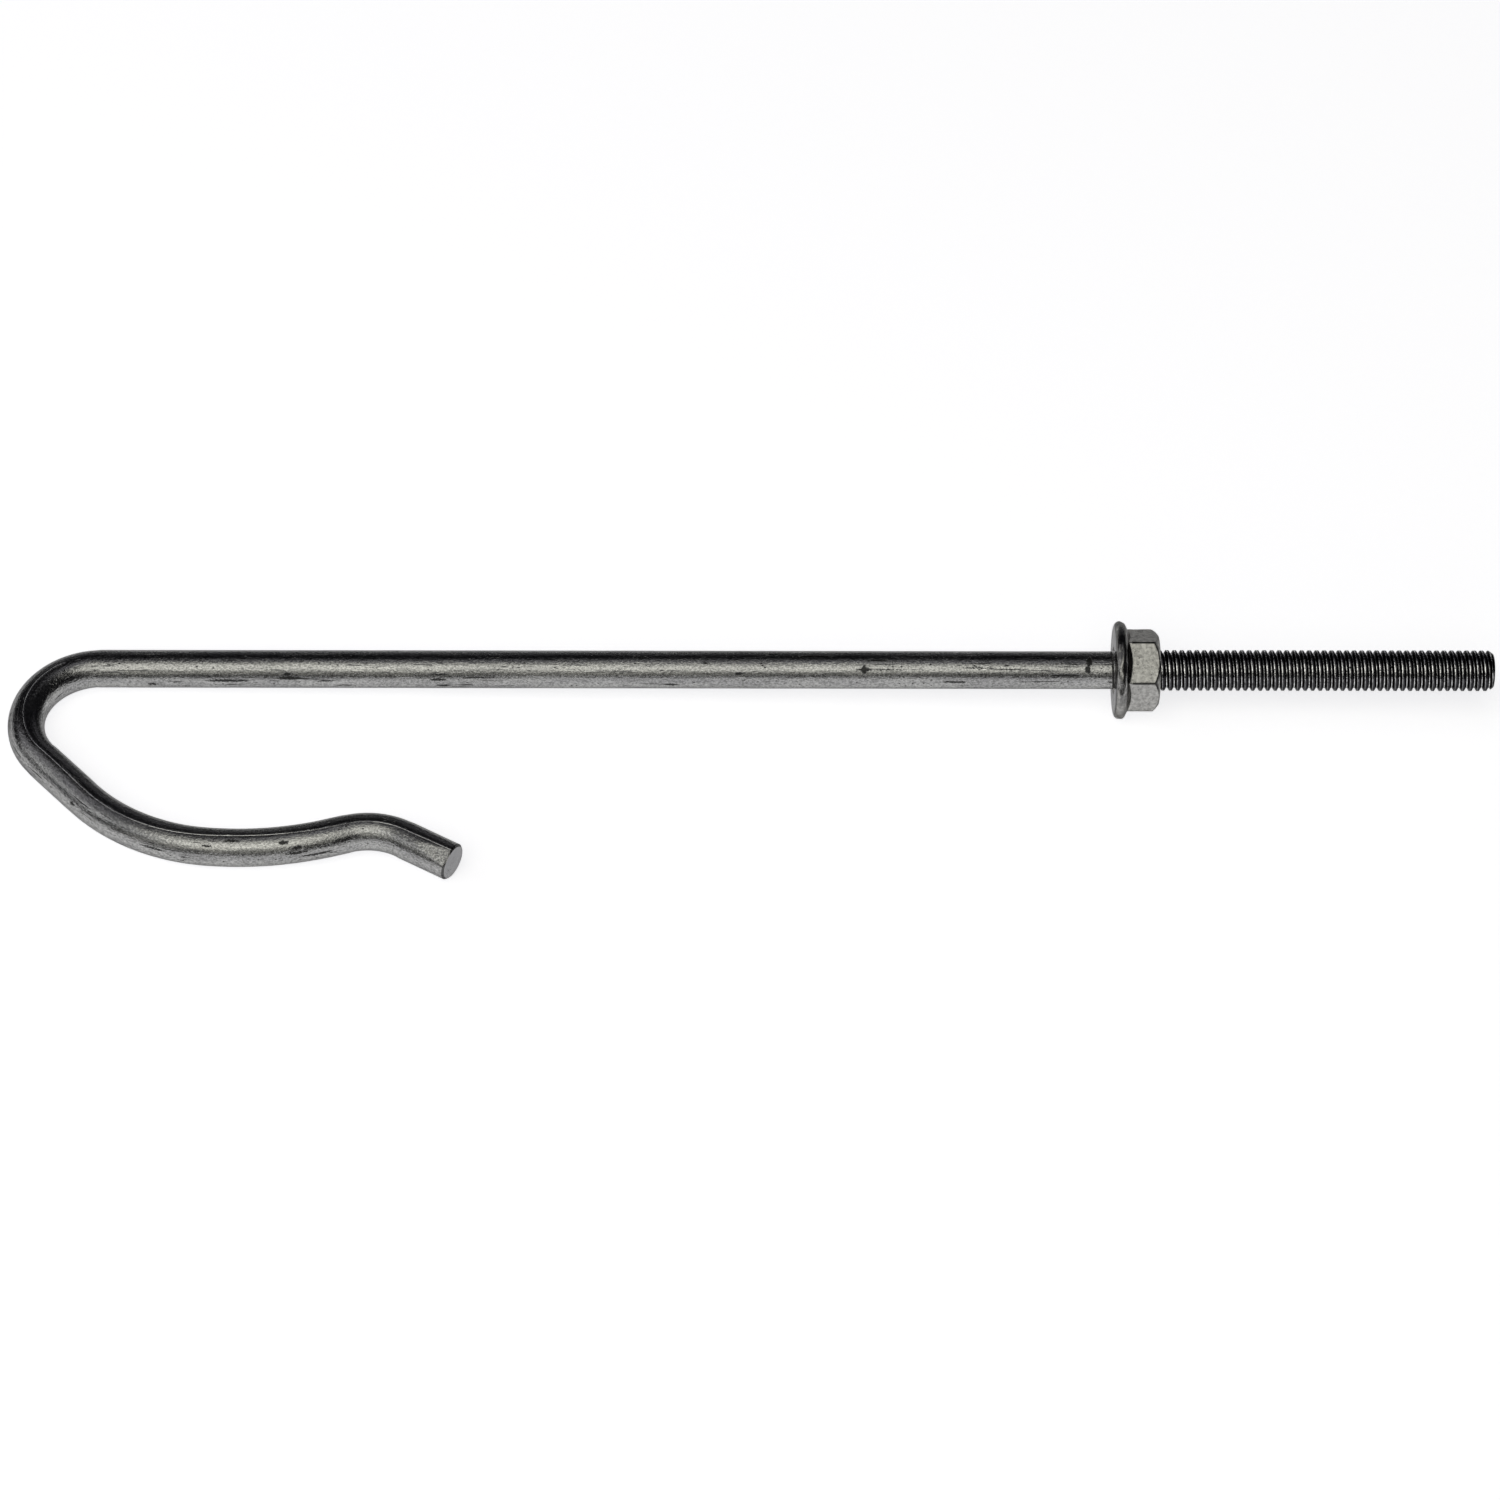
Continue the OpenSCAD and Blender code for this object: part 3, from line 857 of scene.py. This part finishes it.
def nut_material():
    tree = Tree("phosphate_steel")
    place = tree.attribute("nut")
    height, radius = tree.part(place, "X"), tree.off_axis(place)
    pebble = tree.noise(place, 1.6, 2.5, 0.6, 0.4)
    patch = tree.noise(place, 0.5, 3.0, 0.55)
    pits = tree.span(tree.cells(place, 1.3), 0.16, 0.06)
    pit = tree.times(pits, tree.span(tree.noise(place, 0.9, 1.0, 0.5), 0.50, 0.56))
    bearing = tree.times(tree.span(height, *BEARING_H), tree.span(radius, *BEARING_R))
    flange = tree.times(tree.span(radius, *FLANGE_STAIN_R), tree.span(bearing, 1.0, 0.0))
    stain_and_shading, blot = rim_stain_and_shading(tree, place, height, radius)

    warm = (1.0, 0.99, 0.955)
    base = tree.mix(tree.span(patch, 0.35, 0.65), grey(0.305, warm), grey(0.375, warm))
    base = tree.mix(tree.span(pebble, 0.32, 0.68), tree.dyed(base, grey(0.72)), tree.dyed(base, grey(1.22)))
    # Blotches on the flange, thinned towards its lower edge as painted light
    base = tree.mix(tree.times(flange, stain_and_shading), base, grey(0.11))
    base = tree.mix(pit, base, grey(0.05))
    # Painted shade round the mouth of the hole, where the rod goes in
    base = tree.mix(tree.times(bearing, 0.85), base, grey(0.17))
    # Painted shade down the hexagon's corners and along the foot of its dome
    base = tree.mix(tree.times(painted_edge_shade(tree, place, height, radius), 0.92), base, grey(0.02))

    bumps = tree.minus(tree.plus(pebble, tree.times(tree.noise(place, 5.0, 2.0, 0.6), 0.25)), pit)
    bumps = tree.plus(bumps, tree.times(tree.times(flange, blot), 1.2))
    rough = tree.minus(tree.span(patch, 0.3, 0.7, 0.26, 0.32), tree.times(flange, 0.08))
    rough = tree.minus(rough, tree.times(bearing, 0.12))
    return tree.surface(
        Base_Color=base, Metallic=1.0, Roughness=rough, Specular_Tint=grey(0.3),
        Normal=tree.bump(bumps, 0.06 * MM, 0.9),
    )


def floor_material():
    """Pale, and seen white by the camera and by metal; it glows less where the lamps light it."""
    tree = Tree("pale_floor")
    away = tree.length(tree.put("ShaderNodeNewGeometry", {}, "Position"))
    path = tree.nodes.new("ShaderNodeLightPath").outputs
    seen = tree.larger(path["Is Camera Ray"], path["Is Glossy Ray"])
    seen = tree.larger(seen, path["Is Transmission Ray"])
    return tree.surface(
        Base_Color=(0.78, 0.78, 0.80, 1), Roughness=1.0, Specular_IOR_Level=0.0,
        Emission_Color=(0.985, 0.985, 1, 1),
        Emission_Strength=tree.times(seen, tree.span(away, 0.3, 1.2, 0.75, 1.0)),
    )


rod = build_rod()
rod.data.materials.append(rod_material())
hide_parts("hook_rod")
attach(rod, "rod")

nut = build_nut()
nut.data.materials.append(nut_material())
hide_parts("flange_nut")
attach(nut, "nut")

# Floor and room, in metres
FLOOR_W, FLOOR_Z = 16, -0.02 * MM
bpy.ops.mesh.primitive_plane_add(size=FLOOR_W, location=(0, 0, FLOOR_Z))
floor = bpy.context.object
floor.name = "floor"
floor.data.materials.append(floor_material())

world = bpy.data.worlds.new("room")
world.use_nodes = True
world.node_tree.nodes["Background"].inputs[0].default_value = (0.012, 0.012, 0.014, 1)
bpy.context.scene.world = world


# Light
def panel(name, azimuth, elevation, width, tall, radiance, colour=(1, 1, 1), distance=1.7):
    """A soft box that faces the bolt, its sizes in metres and its angles in degrees.

    Azimuth 0 is the front and 90 the threaded end.
    """
    light = bpy.data.lights.new(name, "AREA")
    light.shape = "RECTANGLE"
    light.size, light.size_y = width, tall
    light.energy = radiance * math.pi * width * tall
    light.color = colour
    a, e = math.radians(azimuth), math.radians(elevation)
    way = Vector((math.sin(a) * math.cos(e), -math.cos(a) * math.cos(e), math.sin(e)))
    obj = bpy.data.objects.new(name, light)
    obj.location = way * distance
    obj.rotation_mode = "QUATERNION"
    obj.rotation_quaternion = (-way).to_track_quat("-Z", "Y")
    bpy.context.scene.collection.objects.link(obj)


WARM, COOL = (1.0, 0.99, 0.91), (0.96, 0.95, 1.0)
panel("key", -14, 58, 1.45, 1.58, 1.22, WARM)
panel("key_core", -12, 56, 1.0, 0.55, 0.62, WARM, distance=1.66)
panel("front_low", -24, 20, 1.7, 0.5, 0.50, WARM)
panel("left", -60, 41, 0.95, 0.95, 0.55)
panel("left_side", -82, 28, 0.9, 0.62, 0.80)
panel("left_back", -107, 45, 0.65, 1.1, 0.42, COOL)
panel("overhead", 180, 84, 0.8, 0.8, 0.36, COOL, distance=1.9)
panel("behind", 180, 19, 2.2, 0.5, 0.15, COOL, distance=1.9)

# Camera, from the photo: how far the hook's plane leans out of the picture, the picture's roll,
# the focal length and the photo's width in pixels, and the sensor's width in millimetres. The
# camera looks at a place in the bolt's own frame: this far along the shank, and this far below it
# in the picture.
LEAN, ROLL = math.radians(39), math.radians(0.09)
FOCAL_PX, PHOTO_PX, SENSOR = 4850, 1500, 36
AIM_X, AIM_DOWN, CAMERA_AWAY = 122.1, 15.13, 913.7


def place_camera():
    back = np.array([0, -math.sin(LEAN), math.cos(LEAN)])
    level_up = np.array([0, math.cos(LEAN), math.sin(LEAN)])
    level_right = np.array([1.0, 0, 0])
    aim = np.array([AIM_X, 0, 0]) - level_up * AIM_DOWN
    up = level_up * math.cos(ROLL) - level_right * math.sin(ROLL)
    right = level_right * math.cos(ROLL) + level_up * math.sin(ROLL)
    axes = Matrix([list(TURN @ right), list(TURN @ up), list(TURN @ back)]).transposed()
    camera = bpy.data.objects.new("camera", bpy.data.cameras.new("camera"))
    camera.data.lens = SENSOR * FOCAL_PX / PHOTO_PX
    camera.data.sensor_width = SENSOR
    camera.matrix_world = Matrix.Translation(Vector(to_row(aim + back * CAMERA_AWAY))) @ axes.to_4x4()
    bpy.context.scene.collection.objects.link(camera)
    bpy.context.scene.camera = camera


place_camera()
bpy.context.scene.view_settings.view_transform = "Standard"
